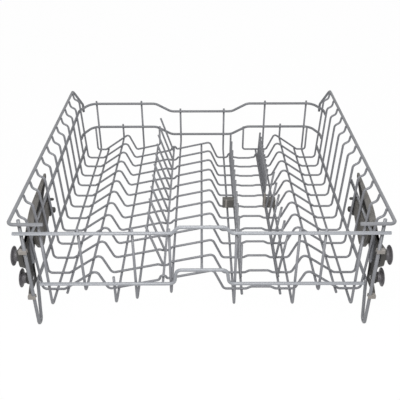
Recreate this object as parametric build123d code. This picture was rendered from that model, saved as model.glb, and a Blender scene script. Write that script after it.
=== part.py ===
from build123d import *
import os
from math import atan2, cos, radians, sin

os.makedirs("parts", exist_ok=True)

# Overall size in millimetres, with the rear of the basket at -Y and the front at +Y
basket_width = 520.0  # between the centrelines of the two rim wires
rim_length = 472.0  # from the rear return of the rim to its front corner
front_wall = 499.7  # from the rear return to the front wires
leg_drop = 188.0  # centreline of the feet below the rim

# Coated wire, drawn with flat sides inside the round of the wire
frame_wire = 5.0
cross_wire_size = 3.8
floor_wire_size = 3.9
tine_wire = 3.8
frame_sides = 8
grid_sides = 6  # of the cross wires, floor wires and tines
weld_gap = 0.02  # left between two wires that are welded
sharp_turn = 70.0  # degrees; a sharper bend of a wire is eased
bend_cut = 4.0  # how far from its corner an eased bend starts

# Cross wires: side walls, joggle under the rim and the wave of the floor
cross_count = 12
first_cross = 36.0  # from the rear return
cross_pitch = 38.3
joggle_top = 11.0
joggle_foot = 16.0
wall_inset = 13.5  # top of the wall inside the rim
wall_batter = 5.5  # how far the wall leans in from there to the floor
floor_drop = 144.0  # floor below the rim
ridge_rise = 36.0  # crests above the floor
ridge_share = 0.604  # crests of the two outer ridges, from the middle towards the rim
flank_run = 51.0  # gentle flank of an outer ridge
steep_run = 16.0  # steep flank of any ridge
centre_crest = 17.5
bow_gap = 11.0  # from a tine row to the part of the floor that bows, right of the middle
bow_ramp = 8.0
bow_rear = 4.5  # rise of the bow on the first cross wire
bow_front = -3.0  # and on the last one
short_inset = 15.0  # outer ends of the two short cross wires at the front, from the side wall
short_inner = 90.0  # and their inner ends, from the middle of the basket

# Rim
rim_return = 47.5
rim_tail_top = 34.0
rim_tail_end = 50.0

# Front wires, which dip in the middle and cut the corners of the basket
front_upper_drop = 39.0
front_lower_drop = 92.0
front_dip = 17.5
dip_half = 64.0
dip_ramp = 32.0
front_corner_inset = 28.0  # from the rim
corner_run = 36.0
corner_tail = 22.0
side_rear_drop = 54.0  # rear end of the side wires
side_rear_station = 42.0
finger_station = 34.0
finger_drop = 92.0
right_side_front = 198.0  # the right side wire starts here

# Rear wires, which rise in the middle
rear_upper_drop = 15.0
rear_upper_inset = 4.0  # ends from the rim
rear_upper_rise = 10.0
rear_upper_top = 32.0
rear_upper_ramp = 8.0
rear_lower_drop = 103.5
rear_lower_inset = 28.0
rear_lower_rise = 25.0
rear_lower_top = 36.0
rear_lower_ramp = 3.0

# Legs
leg_wire_drop = 125.0
leg_front_station = 474.0
leg_bend_station = 34.0
leg_stub = 4.0  # top of the leg above the rim
foot_width = 12.0

# Floor wires, which lie under the cross wires
strand_stub = 4.0  # end of a floor wire past the wire that it is welded to
ridge_strand_top = 92.0

# Tine rows
tine_offset = 9.0  # tines stand this far behind a cross wire
pivot_gap = 0.1  # between a tine row and what it turns in
left_row_share = -0.2231  # of the way from the middle of the basket to the rim
middle_row_share = 0.233
right_row_share = 0.4565
rail_tail = 6.0  # rail past its end wire
seat_depth = 4.0  # dip of a cross wire under the left row
seat_half = 5.0
seat_ramp = 5.0
arch_rise = 9.0  # loop of an end wire over a tine row
arch_ramp = 3.6
left_tine_length = 80.0
middle_tine_length = 57.0
right_front_tine_length = 58.0
right_rear_tine_length = 75.0
left_tine_lean = -18.0  # degrees from upright, towards +X
middle_tine_lean = 0.0
right_front_tine_lean = 2.4
right_rear_tine_lean = 7.5
right_front_density = 2  # tines of the front right row for each cross wire
holder_number = 6  # the cross wire that carries the tine holders, counted from 0
holder_height = 17.0
holder_depth = 12.0
middle_holder_reach = 22.0  # holder on the long side of its rail
right_holder_reach = 17.0
holder_lip = 5.5  # and on the short side
holder_edge = 2.0
rail_end_gap = 0.6  # between the two halves of the right row

# Roller carriers, one moulding outside each side wall
carrier_gap = 0.3
carrier_depth = 6.4
carrier_wall = 2.2
carrier_top_drop = 52.0  # top of the rear edge, which the clips bear on
carrier_saddle = (46.0, 60.0)  # station and drop
carrier_shoulder = (86.0, 37.0)
carrier_tip = (182.0, 24.0)
carrier_tip_height = 7.0
carrier_belly = (126.0, 51.0)
carrier_neck = (70.0, 84.0)
carrier_knee = (52.0, 106.0)
carrier_foot = (50.0, 137.0)
carrier_heel_height = 11.0
carrier_arm = 28.0  # rear edge of the arm between the two rollers
carrier_arm_top = 104.0
carrier_arm_foot = 120.0
carrier_rear_foot = 86.0
carrier_round = 3.0
flange_reach = 2.0  # top edge of the wing over the side wire
flange_start = 0.65  # of the way from the saddle to the shoulder
flange_end = 0.85  # of the way from the shoulder to the tip
rib_size = 1.6
rib_count = 3
boss_size = 19.0
boss_height = 2.0

# Clamp plates between the side walls and the carriers
clamp_corners = [
    (62.0, 58.0),
    (146.0, 57.0),
    (150.0, 66.0),
    (138.0, 80.0),
    (114.0, 96.0),
    (96.0, 105.0),
    (80.0, 100.0),
    (66.0, 80.0),
]
small_pin = (143.5, 61.5)  # station and drop
small_pin_size = 5.0
large_pin = (143.0, 71.5)
large_pin_size = 8.0
pin_length = 9.0

# Clips that hold a carrier to the rear strand of its leg
clip_drops = (56.0, 132.0)
clip_depth = 7.0
clip_height = 6.0
clip_lip = 3.8  # clip inside the middle of the strand
clip_bearing = 1.6  # width of the face that bears on the carrier
clip_mouth = 3.6
clip_gap = 0.05

# Rollers on their axles
upper_roller = (24.0, 71.0)  # station and drop
lower_roller = (36.0, 122.0)
roller_size = 29.0
roller_reach = 12.0  # outer face outside the rim
roller_sides = 36  # flats round a roller
roller_flange = 3.6
roller_crown = 1.2
roller_waist = 16.0
roller_gap = 0.4
axle_size = 6.0
axle_gap = 0.06
roller_cap = 3.4  # closed outer end of a roller

rim_x = basket_width / 2
ridge_x = rim_x * ridge_share
left_row_x = rim_x * left_row_share
middle_row_x = rim_x * middle_row_share
right_row_x = rim_x * right_row_share
front_corner_x = rim_x - front_corner_inset
roller_face = rim_x + roller_reach
foot_bottom = leg_drop + frame_wire / 2


def touching(first, second):
    return (first + second) / 2 + weld_gap


front_strand = front_wall + touching(frame_wire, floor_wire_size)
rear_strand = touching(frame_wire, floor_wire_size)
leg_strand = touching(frame_wire, frame_wire)
middle_station = (front_strand + floor_wire_size / 2 - frame_wire / 2) / 2


def level(drop):
    return foot_bottom - drop


def station(from_rear):
    return from_rear - middle_station


def at(x, from_rear, drop):
    return Vector(x, station(from_rear), level(drop))


def cross_station(number):
    return first_cross + cross_pitch * number


# The wave of the floor, from the left wall to the right one
wall_top_x = rim_x - wall_inset
wall_foot_x = wall_top_x - wall_batter
ridge_drop = floor_drop - ridge_rise
floor_wave = [
    (-wall_foot_x, floor_drop),
    (-ridge_x - flank_run, floor_drop),
    (-ridge_x, ridge_drop),
    (-ridge_x + steep_run, floor_drop),
    (centre_crest, ridge_drop),
    (centre_crest + steep_run, floor_drop),
    (ridge_x - steep_run, floor_drop),
    (ridge_x, ridge_drop),
    (ridge_x + flank_run, floor_drop),
    (wall_foot_x, floor_drop),
]


def floor_at(x):
    """Drop of the wave at x, and its fall per millimetre towards +X."""
    for (x0, drop0), (x1, drop1) in zip(floor_wave, floor_wave[1:]):
        if x0 <= x <= x1:
            fall = (drop1 - drop0) / (x1 - x0)
            return drop0 + fall * (x - x0), fall


def wall_x(drop):
    """Centreline of a side wall at a drop, from the middle of the basket."""
    return wall_top_x - wall_batter * (drop - joggle_foot) / (floor_drop - joggle_foot)


def side_x(drop, size):
    """Centreline of a wire that runs along the outside of a side wall."""
    lean = atan2(wall_batter, floor_drop - joggle_foot)
    return wall_x(drop) + touching(cross_wire_size, size) / cos(lean)


def eased(points):
    """The same route with a short straight across each sharp bend."""
    route = [points[0]]
    for before, here, after in zip(points, points[1:], points[2:]):
        arriving = (here - before).normalized()
        leaving = (after - here).normalized()
        if arriving.get_angle(leaving) > sharp_turn:
            route += [here - arriving * bend_cut, here + leaving * bend_cut]
        else:
            route.append(here)
    return route + [points[-1]]


def bent_wire(points, size, across, sides=frame_sides):
    """A wire along a route with mitred bends; one of its corners points across."""
    path = Polyline(*eased(points))
    plane = Plane(path @ 0, x_dir=across, z_dir=path % 0)
    return sweep(plane * RegularPolygon(size / 2, sides), path, transition=Transition.RIGHT)


# Rim, front, rear, side and leg wires
def rim_wire(side):
    corner = Vector(front_corner_x, front_wall)
    end = Vector(side_x(front_upper_drop, frame_wire), front_wall - corner_run)
    along = (end - corner).normalized()
    outward = Vector(-along.Y, along.X) * touching(frame_wire, frame_wire)
    tail = (corner + end) * 0.5 + outward
    points = [
        at(side * (rim_x - rim_return), 0, 0),
        at(side * rim_x, 0, 0),
        at(side * rim_x, rim_length, 0),
        at(side * tail.X, tail.Y, rim_tail_top),
        at(side * tail.X, tail.Y, rim_tail_end),
    ]
    return bent_wire(points, frame_wire, (0, 0, 1))


def front_corner(drop, tail):
    """Right end of a front wire: the cut corner and a tail along the side wall."""
    x = side_x(drop, frame_wire)
    return [
        at(front_corner_x, front_wall, drop),
        at(x, front_wall - corner_run, drop),
        at(x, front_wall - corner_run - tail, drop),
    ]


def front_dips(drop):
    return [
        at(-dip_half - dip_ramp, front_wall, drop),
        at(-dip_half, front_wall, drop + front_dip),
        at(dip_half, front_wall, drop + front_dip),
        at(dip_half + dip_ramp, front_wall, drop),
    ]


def mirrored(points):
    return [Vector(-p.X, p.Y, p.Z) for p in reversed(points)]


def side_run(front_station, front_drop):
    """A side wire from its front end to the finger that it ends in."""
    return [
        at(side_x(front_drop, frame_wire), front_station, front_drop),
        at(side_x(side_rear_drop, frame_wire), side_rear_station, side_rear_drop),
        at(side_x(finger_drop, frame_wire), finger_station, finger_drop),
    ]


def front_upper_wire():
    """The upper front wire, whose left end runs on along the left side wall."""
    right = front_corner(front_upper_drop, corner_tail)
    left = right[:1] + side_run(front_wall - corner_run, front_upper_drop)
    points = mirrored(left) + front_dips(front_upper_drop) + right
    return bent_wire(points, frame_wire, (1, 0, 0))


def front_lower_wire():
    right = front_corner(front_lower_drop, corner_tail)
    points = mirrored(right) + front_dips(front_lower_drop) + right
    return bent_wire(points, frame_wire, (0, 0, 1))


def right_side_wire():
    fall = (side_rear_drop - front_upper_drop) / (front_wall - corner_run - side_rear_station)
    drop = side_rear_drop - fall * (right_side_front - side_rear_station)
    return bent_wire(side_run(right_side_front, drop), frame_wire, (0, 0, 1))


def rear_wire(drop, inset, rise, top, ramp):
    right = [at(top, 0, drop - rise), at(top + ramp, 0, drop), at(rim_x - inset, 0, drop)]
    return bent_wire(mirrored(right) + right, frame_wire, (0, 0, 1))


def leg_wire(side):
    x = side * side_x(leg_wire_drop, frame_wire)
    points = [
        at(x, leg_front_station, leg_wire_drop),
        at(x, leg_bend_station, leg_wire_drop),
        at(x, leg_strand + foot_width, leg_drop),
        at(x, leg_strand, leg_drop),
        at(x, leg_strand, -leg_stub),
    ]
    return bent_wire(points, frame_wire, (1, 0, 0))


# Cross wires
def step(x, rise, ramp):
    """A flat step up or down in the wave, under or over a tine rail."""
    drop = floor_at(x)[0] - rise
    outer = seat_half + ramp
    return [
        (x - outer, floor_at(x - outer)[0]),
        (x - seat_half, drop),
        (x + seat_half, drop),
        (x + outer, floor_at(x + outer)[0]),
    ]


def bow(number):
    """The floor between the middle and right tine rows, higher at the rear than at the front."""
    rise = bow_rear + (bow_front - bow_rear) * number / (cross_count - 1)
    start = middle_row_x + bow_gap
    end = right_row_x - bow_gap
    return [
        (start, floor_drop),
        (start + bow_ramp, floor_drop - rise),
        (end - bow_ramp, floor_drop - rise),
        (end, floor_drop),
    ]


def cross_outline(number):
    """Corners of a cross wire as x and drop, from the left rim to the right one."""
    last = number == cross_count - 1
    steps = bow(number)
    if number == 0 or last:
        steps += step(left_row_x, arch_rise, arch_ramp)
    else:
        steps += step(left_row_x, -seat_depth, seat_ramp)
    if last:
        steps += step(middle_row_x, arch_rise, arch_ramp)
        steps += step(right_row_x, arch_rise, arch_ramp)
    top_x = rim_x - touching(frame_wire, cross_wire_size)
    end = [(top_x, 0), (top_x, joggle_top), (wall_top_x, joggle_foot)]
    left = [(-x, drop) for x, drop in end]
    return left + sorted(floor_wave + steps) + end[::-1]


def cross_wire(number):
    points = [at(x, cross_station(number), drop) for x, drop in cross_outline(number)]
    return bent_wire(points, cross_wire_size, (1, 0, 0), grid_sides)


def short_cross_wire(side):
    """A front cross wire that hangs from the lower front wire, over one side of the floor."""
    y = front_wall - touching(frame_wire, cross_wire_size)
    low, high = sorted((side * short_inner, side * (wall_foot_x - short_inset)))
    wave = [p for p in floor_wave if low < p[0] < high]
    top = front_lower_drop - strand_stub / 2
    outline = [(low, top), (low, floor_at(low)[0]), *wave, (high, floor_at(high)[0]), (high, top)]
    points = [at(x, y, drop) for x, drop in outline]
    return bent_wire(points, cross_wire_size, (1, 0, 0), grid_sides)


# Floor wires: share of the way from the middle to the rim, rear end and front end
floor_wires = [
    (-0.848, "upper", "upper"),
    (-0.781, "stub", "stub"),
    (-0.648, "upper", "lower"),
    (-0.485, "lower", "upper"),
    (-0.365, "upper", "stub"),
    (-0.171, "upper", "upper"),
    (0.0, "ridge", "short"),
    (0.183, "upper", "upper"),
    (middle_row_share, "stub", "short"),
    (right_row_share, "stub", "stub"),
    (0.515, "upper", "upper"),
    (0.652, "upper", "lower"),
    (0.781, "stub", "stub"),
    (0.848, "upper", "upper"),
]


def floor_wire_drop(x):
    drop, fall = floor_at(x)
    return drop + touching(cross_wire_size, floor_wire_size) / cos(atan2(fall, 1))


def front_top(x, drop):
    """Drop of a front wire where a floor wire is welded to it."""
    inside = min(max((dip_half + dip_ramp - abs(x)) / dip_ramp, 0), 1)
    return drop + front_dip * inside


def rear_end(x, kind):
    drop = floor_wire_drop(x)
    if kind == "stub":
        return [at(x, first_cross - cross_wire_size - strand_stub, drop)]
    if kind == "ridge":
        top = rear_lower_drop - rear_lower_rise - strand_stub
        return [
            at(x, rear_strand, top),
            at(x, rear_strand, ridge_strand_top),
            at(x, first_cross - cross_wire_size - strand_stub, drop),
        ]
    top = rear_upper_drop if kind == "upper" else rear_lower_drop - frame_wire
    return [at(x, rear_strand, top - strand_stub), at(x, rear_strand, drop)]


def front_end(x, kind):
    drop = floor_wire_drop(x)
    if kind == "stub":
        return [at(x, front_wall, drop)]
    if kind == "short":
        return [at(x, cross_station(cross_count - 1) + cross_wire_size + strand_stub, drop)]
    wire = front_upper_drop if kind == "upper" else front_lower_drop
    return [at(x, front_strand, drop), at(x, front_strand, front_top(x, wire) - strand_stub)]


def floor_wire(x, rear, front):
    route = rear_end(x, rear) + front_end(x, front)
    return bent_wire(route, floor_wire_size, (1, 0, 0), grid_sides)


# Tine rows: a rail with tines, which folds about the rail
def rail_drop(x, seat):
    return floor_at(x)[0] + seat - touching(cross_wire_size, tine_wire) - pivot_gap


def tine_row(x, seat, rear, front, length, lean, first, last, density=1):
    """A rail with tines behind the cross wires from first to last, and between them if denser."""
    drop = rail_drop(x, seat)
    row = bent_wire([at(x, rear, drop), at(x, front, drop)], tine_wire, (0, 0, 1), grid_sides)
    tip = Vector(sin(radians(lean)), 0, cos(radians(lean))) * length
    for number in range((last - first) * density + 1):
        base = at(x, cross_station(first + number / density) - tine_offset, drop)
        row += bent_wire([base, base + tip], tine_wire, (0, 1, 0), grid_sides)
    return row


def tine_rows():
    last = cross_count - 1
    rear = cross_station(0) - rail_tail
    near = cross_station(1) - tine_offset - rail_tail
    front = cross_station(last) + rail_tail
    split_rear = cross_station(holder_number) - rail_end_gap / 2
    split_front = split_rear + rail_end_gap
    left = (left_tine_length, left_tine_lean, 1, last)
    middle = (middle_tine_length, middle_tine_lean, 1, last)
    right_rear = (right_rear_tine_length, right_rear_tine_lean, 1, holder_number)
    right_front = (right_front_tine_length, right_front_tine_lean)
    right_front += (holder_number + 1, last, right_front_density)
    return {
        "tine_row_left": tine_row(left_row_x, seat_depth, rear, front, *left),
        "tine_row_middle": tine_row(middle_row_x, 0, near, front, *middle),
        "tine_row_right_front": tine_row(right_row_x, 0, split_front, front, *right_front),
        "tine_row_right_rear": tine_row(right_row_x, 0, near, split_rear, *right_rear),
    }


def tine_holder(x, left, right):
    """A block clipped over a cross wire; the rail of a tine row turns in its bore."""
    y = station(cross_station(holder_number))
    width = left + right
    middle = x + (right - left) / 2
    block = Pos(middle, y, level(floor_drop) + holder_height / 2) * Box(width, holder_depth, holder_height)
    block = chamfer(block.faces().sort_by(Axis.Z)[-1].edges(), holder_edge)
    groove = cross_wire_size + 2 * pivot_gap
    block -= Pos(middle, y, level(floor_drop)) * Box(2 * width, groove, groove)
    bore = Cylinder(tine_wire / 2 + pivot_gap, 2 * holder_depth, rotation=(90, 0, 0))
    return block - Pos(x, y, level(rail_drop(x, 0))) * bore


# Roller carriers and what holds them, built for the right side
carrier_x = side_x(front_upper_drop, frame_wire) + frame_wire / 2 + carrier_gap
carrier_face = carrier_x + carrier_depth


def side_plane(x):
    return Plane((x, 0, 0), x_dir=(0, 1, 0), z_dir=(1, 0, 0))


def spot(place):
    """Station and drop as a point of a side plane."""
    return station(place[0]), level(place[1])


def rib_station(number):
    """Half-way between two cross wires, where a rib of the carrier stands."""
    return cross_station(number + 1) + cross_pitch / 2


def carrier_outline():
    """Side view of a carrier: a wing with a high front tip and an arm down to the lower roller."""
    rear = leg_strand + clip_depth / 2 + weld_gap
    tip, tip_drop = carrier_tip
    foot_drop = carrier_foot[1]
    corners = {
        (rear, carrier_top_drop): carrier_round,
        carrier_saddle: 0,
        carrier_shoulder: 0,
        carrier_tip: carrier_round,
        (tip, tip_drop + carrier_tip_height): carrier_round,
        carrier_belly: 0,
        carrier_neck: 0,
        carrier_knee: 0,
        carrier_foot: carrier_round,
        (rear, foot_drop): carrier_round,
        (rear, foot_drop - carrier_heel_height): 0,
        (carrier_arm, carrier_arm_foot): 0,
        (carrier_arm, carrier_arm_top): 0,
        (rear, carrier_rear_foot): 0,
    }
    points = [spot(place) for place in corners]
    return make_face(FilletPolyline(*points, radius=list(corners.values()), close=True))


def carrier_flange():
    """Top edge of the wing, which reaches inwards over the side wire."""
    saddle, shoulder, tip = [Vector(*spot(p)) for p in (carrier_saddle, carrier_shoulder, carrier_tip)]
    start = saddle + (shoulder - saddle) * flange_start
    end = shoulder + (tip - shoulder) * flange_end
    top = [start, shoulder, end]
    under = [point - Vector(0, carrier_wall) for point in reversed(top)]
    return make_face(Polyline(*top, *under, close=True))


def roller_carrier():
    """A wing-shaped moulding, open towards the basket, with ribs and two axle bosses."""
    face = carrier_outline()
    inside = offset(face, -carrier_wall, kind=Kind.INTERSECTION)
    solid = extrude(side_plane(carrier_x) * face, carrier_depth)
    pocket = extrude(side_plane(carrier_x) * inside, carrier_depth - carrier_wall)
    carrier = solid - pocket
    carrier += extrude(side_plane(carrier_x - flange_reach) * carrier_flange(), flange_reach + carrier_wall)
    for number in range(rib_count):
        middle = Pos(carrier_x, station(rib_station(number)))
        carrier += middle * Box(2 * carrier_depth, rib_size, 2 * foot_bottom) & pocket
    for place in (upper_roller, lower_roller):
        middle = Pos(*spot(place))
        pad = side_plane(carrier_x) * middle * Rectangle(boss_size, boss_size)
        boss = side_plane(carrier_face) * middle * Circle(boss_size / 2)
        hole = side_plane(carrier_x) * middle * Circle(axle_size / 2 + weld_gap)
        carrier += extrude(pad, carrier_depth) & solid
        carrier += extrude(boss, boss_height)
        carrier -= extrude(hole, carrier_depth + boss_height)
    return carrier


def carrier_clamp():
    """A plate between the side wall and the carrier; two pins reach in between the cross wires."""
    topmost = min(drop for place, drop in clamp_corners)
    x = wall_x(topmost) + cross_wire_size / 2 + carrier_gap
    outline = make_face(Polyline(*[spot(place) for place in clamp_corners], close=True))
    clamp = extrude(side_plane(x) * outline, carrier_x - weld_gap - x)
    for place, size in ((small_pin, small_pin_size), (large_pin, large_pin_size)):
        pin = side_plane(x) * Pos(*spot(place)) * RegularPolygon(size / 2, frame_sides)
        clamp += extrude(pin, -pin_length)
    return clamp


def leg_clips():
    """Two clips that snap round the rear strand of the leg and bear on the carrier."""
    x = side_x(leg_wire_drop, frame_wire)
    inner = x - clip_lip
    outer = carrier_x + clip_bearing
    clip = Pos((inner + outer) / 2) * Box(outer - inner, clip_depth, clip_height)
    clip -= Pos(x) * Cylinder(frame_wire / 2 + clip_gap, clip_height)
    clip -= Pos(inner) * Box(2 * clip_lip, clip_mouth, clip_height)
    return Compound(children=[Pos(0, *spot((leg_strand, drop))) * clip for drop in clip_drops])


def axles():
    length = roller_face - roller_cap - roller_gap - carrier_x
    round_end = Circle(axle_size / 2)
    ends = [side_plane(carrier_x) * Pos(*spot(place)) * round_end for place in (upper_roller, lower_roller)]
    return Compound(children=[extrude(end, length) for end in ends])


def roller(place):
    """A mushroom roller: a wide flange on a waist that turns on its axle."""
    start = carrier_face + boss_height + roller_gap
    middle = Pos(*spot(place))
    rounds = side_plane(roller_face) * middle * RegularPolygon(roller_size / 2, roller_sides)
    flange = extrude(rounds, -roller_flange)
    flange = chamfer(flange.faces().sort_by(Axis.X)[-1].edges(), roller_crown)
    waist = side_plane(start) * middle * RegularPolygon(roller_waist / 2, roller_sides)
    bore = side_plane(start) * middle * Circle(axle_size / 2 + axle_gap)
    whole = flange + extrude(waist, roller_face - roller_flange - start)
    return whole - extrude(bore, roller_face - roller_cap - start)


def both_sides(name, right):
    return {"right_" + name: right, "left_" + name: mirror(right, about=Plane.YZ)}


parts = {
    "left_rim_wire": rim_wire(-1),
    "right_rim_wire": rim_wire(1),
    "front_upper_wire": front_upper_wire(),
    "front_lower_wire": front_lower_wire(),
    "right_side_wire": right_side_wire(),
    "rear_upper_wire": rear_wire(
        rear_upper_drop, rear_upper_inset, rear_upper_rise, rear_upper_top, rear_upper_ramp
    ),
    "rear_lower_wire": rear_wire(
        rear_lower_drop, rear_lower_inset, rear_lower_rise, rear_lower_top, rear_lower_ramp
    ),
    "left_leg_wire": leg_wire(-1),
    "right_leg_wire": leg_wire(1),
    "short_cross_wire_left": short_cross_wire(-1),
    "short_cross_wire_right": short_cross_wire(1),
    "tine_holder_middle": tine_holder(middle_row_x, middle_holder_reach, holder_lip),
    "tine_holder_right": tine_holder(right_row_x, holder_lip, right_holder_reach),
}
for number in range(cross_count):
    parts[f"cross_wire_{number + 1:02d}"] = cross_wire(number)
for number, (share, rear, front) in enumerate(floor_wires, 1):
    parts[f"floor_wire_{number:02d}"] = floor_wire(rim_x * share, rear, front)
parts |= tine_rows()
parts |= both_sides("roller_carrier", roller_carrier())
parts |= both_sides("carrier_clamp", carrier_clamp())
parts |= both_sides("leg_clips", leg_clips())
parts |= both_sides("roller_axles", axles())
parts |= both_sides("upper_roller", roller(upper_roller))
parts |= both_sides("lower_roller", roller(lower_roller))

for name, part in parts.items():
    export_step(part, f"parts/{name}.step")
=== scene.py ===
"""Looks of a dishwasher basket: coated wire, moulded carriers and rollers."""
import logging
import math
from dataclasses import dataclass, replace
from enum import Enum

import bmesh
import bpy
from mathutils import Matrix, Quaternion, Vector


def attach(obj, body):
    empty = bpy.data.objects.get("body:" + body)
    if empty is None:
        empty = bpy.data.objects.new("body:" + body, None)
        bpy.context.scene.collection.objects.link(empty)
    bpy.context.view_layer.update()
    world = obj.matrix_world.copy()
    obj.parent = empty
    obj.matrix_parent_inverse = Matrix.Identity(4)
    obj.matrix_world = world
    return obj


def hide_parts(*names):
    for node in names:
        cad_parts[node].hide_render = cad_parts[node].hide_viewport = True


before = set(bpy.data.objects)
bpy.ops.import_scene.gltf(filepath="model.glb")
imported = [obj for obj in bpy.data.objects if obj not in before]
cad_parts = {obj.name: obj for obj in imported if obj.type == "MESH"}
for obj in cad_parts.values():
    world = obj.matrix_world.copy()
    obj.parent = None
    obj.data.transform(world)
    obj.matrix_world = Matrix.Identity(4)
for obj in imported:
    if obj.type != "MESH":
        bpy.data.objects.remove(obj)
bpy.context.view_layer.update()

LOG = logging.getLogger("dishwasher_basket")
MM = 0.001
BASKET = "basket"
SIDES = {"left": -1, "right": 1}
Place = tuple[float, float]
Point = tuple[float, float, float]
Route = list[Vector]
Ring = list[bmesh.types.BMVert]
Faces = list[bmesh.types.BMFace]


class Grain(Enum):
    """How fine relief covers a finish."""

    COATING = "soft ripple of a dipped coating"
    MOULDED = "fine spark texture of a mould"
    DRAWN = "fine rings of a drawn pin"


# Noise as repeats per metre and octaves.
PATCH_NOISE = (45.0, 3.0)
GLOSS_NOISE = (180.0, 2.0)
GRAIN_OCTAVES = {Grain.COATING: 1.0, Grain.MOULDED: 4.0}
# Colour sockets of a mix node: its two inputs and its result.
MIX_FIRST, MIX_SECOND, MIX_RESULT = 6, 7, 2


@dataclass(frozen=True)
class Finish:
    """A surface finish: colour, gloss and fine relief."""

    name: str
    slot: str
    colour: Point
    shade: float
    roughness: float
    gloss_change: float
    grain: Grain
    grain_mm: float
    depth_mm: float
    metallic: float = 0.0

    def material(self) -> bpy.types.Material:
        """Make the material, or return it where it exists.

        Returns:
            The material, with its nodes in place.
        """
        known = bpy.data.materials.get(self.name)
        if known:
            return known
        material = bpy.data.materials.new(self.name)
        material.use_nodes = True
        nodes = material.node_tree.nodes
        links = material.node_tree.links
        shader = nodes["Principled BSDF"]
        shader.inputs["Metallic"].default_value = self.metallic
        place = nodes.new("ShaderNodeTexCoord").outputs["Object"]
        patches = self._noise(nodes, links, place, *PATCH_NOISE)
        tone = nodes.new("ShaderNodeMix")
        tone.data_type = "RGBA"
        tone.inputs[MIX_FIRST].default_value = (*(c * (1 - self.shade) for c in self.colour), 1)
        tone.inputs[MIX_SECOND].default_value = (*self.colour, 1)
        links.new(patches, tone.inputs[0])
        links.new(tone.outputs[MIX_RESULT], shader.inputs["Base Color"])
        gloss = nodes.new("ShaderNodeMapRange")
        gloss.inputs["To Min"].default_value = self.roughness - self.gloss_change
        gloss.inputs["To Max"].default_value = self.roughness + self.gloss_change
        links.new(self._noise(nodes, links, place, *GLOSS_NOISE), gloss.inputs["Value"])
        links.new(gloss.outputs["Result"], shader.inputs["Roughness"])
        bump = nodes.new("ShaderNodeBump")
        bump.inputs["Distance"].default_value = self.depth_mm * MM
        links.new(self._relief(nodes, links, place), bump.inputs["Height"])
        links.new(bump.outputs["Normal"], shader.inputs["Normal"])
        return material

    def _relief(
        self, nodes: bpy.types.Nodes, links: bpy.types.NodeLinks, place: bpy.types.NodeSocket
    ) -> bpy.types.NodeSocket:
        """Height of the fine relief that the grain calls for.

        Args:
            nodes: Nodes of the material.
            links: Links of the material.
            place: Object coordinates.

        Returns:
            The socket with the height.
        """
        scale = 1.0 / (self.grain_mm * MM)
        if self.grain is Grain.DRAWN:
            rings = nodes.new("ShaderNodeTexWave")
            rings.bands_direction = "X"
            rings.inputs["Scale"].default_value = scale
            links.new(place, rings.inputs["Vector"])
            return rings.outputs["Fac"]
        return self._noise(nodes, links, place, scale, GRAIN_OCTAVES[self.grain])

    @staticmethod
    def _noise(
        nodes: bpy.types.Nodes,
        links: bpy.types.NodeLinks,
        place: bpy.types.NodeSocket,
        scale: float,
        detail: float,
    ) -> bpy.types.NodeSocket:
        """A noise texture on object coordinates.

        Args:
            nodes: Nodes of the material.
            links: Links of the material.
            place: Object coordinates.
            scale: Repeats per metre.
            detail: Octaves.

        Returns:
            The socket with the noise.
        """
        noise = nodes.new("ShaderNodeTexNoise")
        noise.inputs["Scale"].default_value = scale
        noise.inputs["Detail"].default_value = detail
        links.new(place, noise.inputs["Vector"])
        return noise.outputs["Fac"]


# Lighter copy of the one wire coating, for the rear wires only: painted light. The other coatings keep
# its gloss and grain but take their own colour.
PAINTED_LIGHT_REAR_WIRES = Finish(
    name="painted_light_rear_wires",
    slot="coated_wire",
    colour=(0.228, 0.237, 0.255),
    shade=0.08,
    roughness=0.38,
    gloss_change=0.06,
    grain=Grain.COATING,
    grain_mm=3.0,
    depth_mm=0.04,
)
FRAME_COATING = replace(PAINTED_LIGHT_REAR_WIRES, name="frame_coating", colour=(0.160, 0.164, 0.176), shade=0.10)
GRID_COATING = replace(
    FRAME_COATING,
    name="grid_coating",
    colour=(0.168, 0.171, 0.185),
    shade=0.12,
    roughness=0.42,
    grain_mm=2.5,
)
# Darker copy of the wire coating for the tines of the middle and right rails: painted shade. The left
# rail's tines get a lighter copy: painted light.
PAINTED_SHADE_TINES = replace(GRID_COATING, name="painted_shade_tines", colour=(0.142, 0.145, 0.156), roughness=0.44)
PAINTED_LIGHT_TINES = replace(PAINTED_SHADE_TINES, name="painted_light_tines", colour=(0.215, 0.219, 0.235))
CARRIER_PLASTIC = Finish(
    name="moulded_carrier",
    slot="carrier_plastic",
    colour=(0.045, 0.042, 0.038),
    shade=0.25,
    roughness=0.55,
    gloss_change=0.08,
    grain=Grain.MOULDED,
    grain_mm=0.7,
    depth_mm=0.05,
)
# Darker copy of the carrier plastic for pocket linings, bosses, the clamp's jaw and its pins: painted
# shade.
PAINTED_SHADE_PLASTIC = replace(
    CARRIER_PLASTIC, name="painted_shade_recess", colour=(0.026, 0.025, 0.024), shade=0.30, roughness=0.60
)
# Lighter copy of the carrier plastic for the wing's top flange: painted light.
PAINTED_LIGHT_FLANGE = replace(CARRIER_PLASTIC, name="painted_light_flange", colour=(0.112, 0.106, 0.098), shade=0.20)
CLAMP_PLASTIC = replace(CARRIER_PLASTIC, name="moulded_clamp", colour=(0.098, 0.092, 0.083), shade=0.34)
ROLLER_PLASTIC = replace(
    CARRIER_PLASTIC,
    name="turned_roller",
    slot="roller_plastic",
    colour=(0.112, 0.106, 0.114),
    roughness=0.48,
    grain_mm=0.6,
    depth_mm=0.04,
)
CLIP_PLASTIC = replace(
    ROLLER_PLASTIC,
    name="snap_clip",
    slot="clip_plastic",
    colour=(0.23, 0.214, 0.198),
    shade=0.16,
    roughness=0.50,
)
HOLDER_PLASTIC = replace(
    ROLLER_PLASTIC,
    name="moulded_holder",
    slot="holder_plastic",
    colour=(0.092, 0.088, 0.081),
    shade=0.22,
    roughness=0.52,
)
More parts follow.
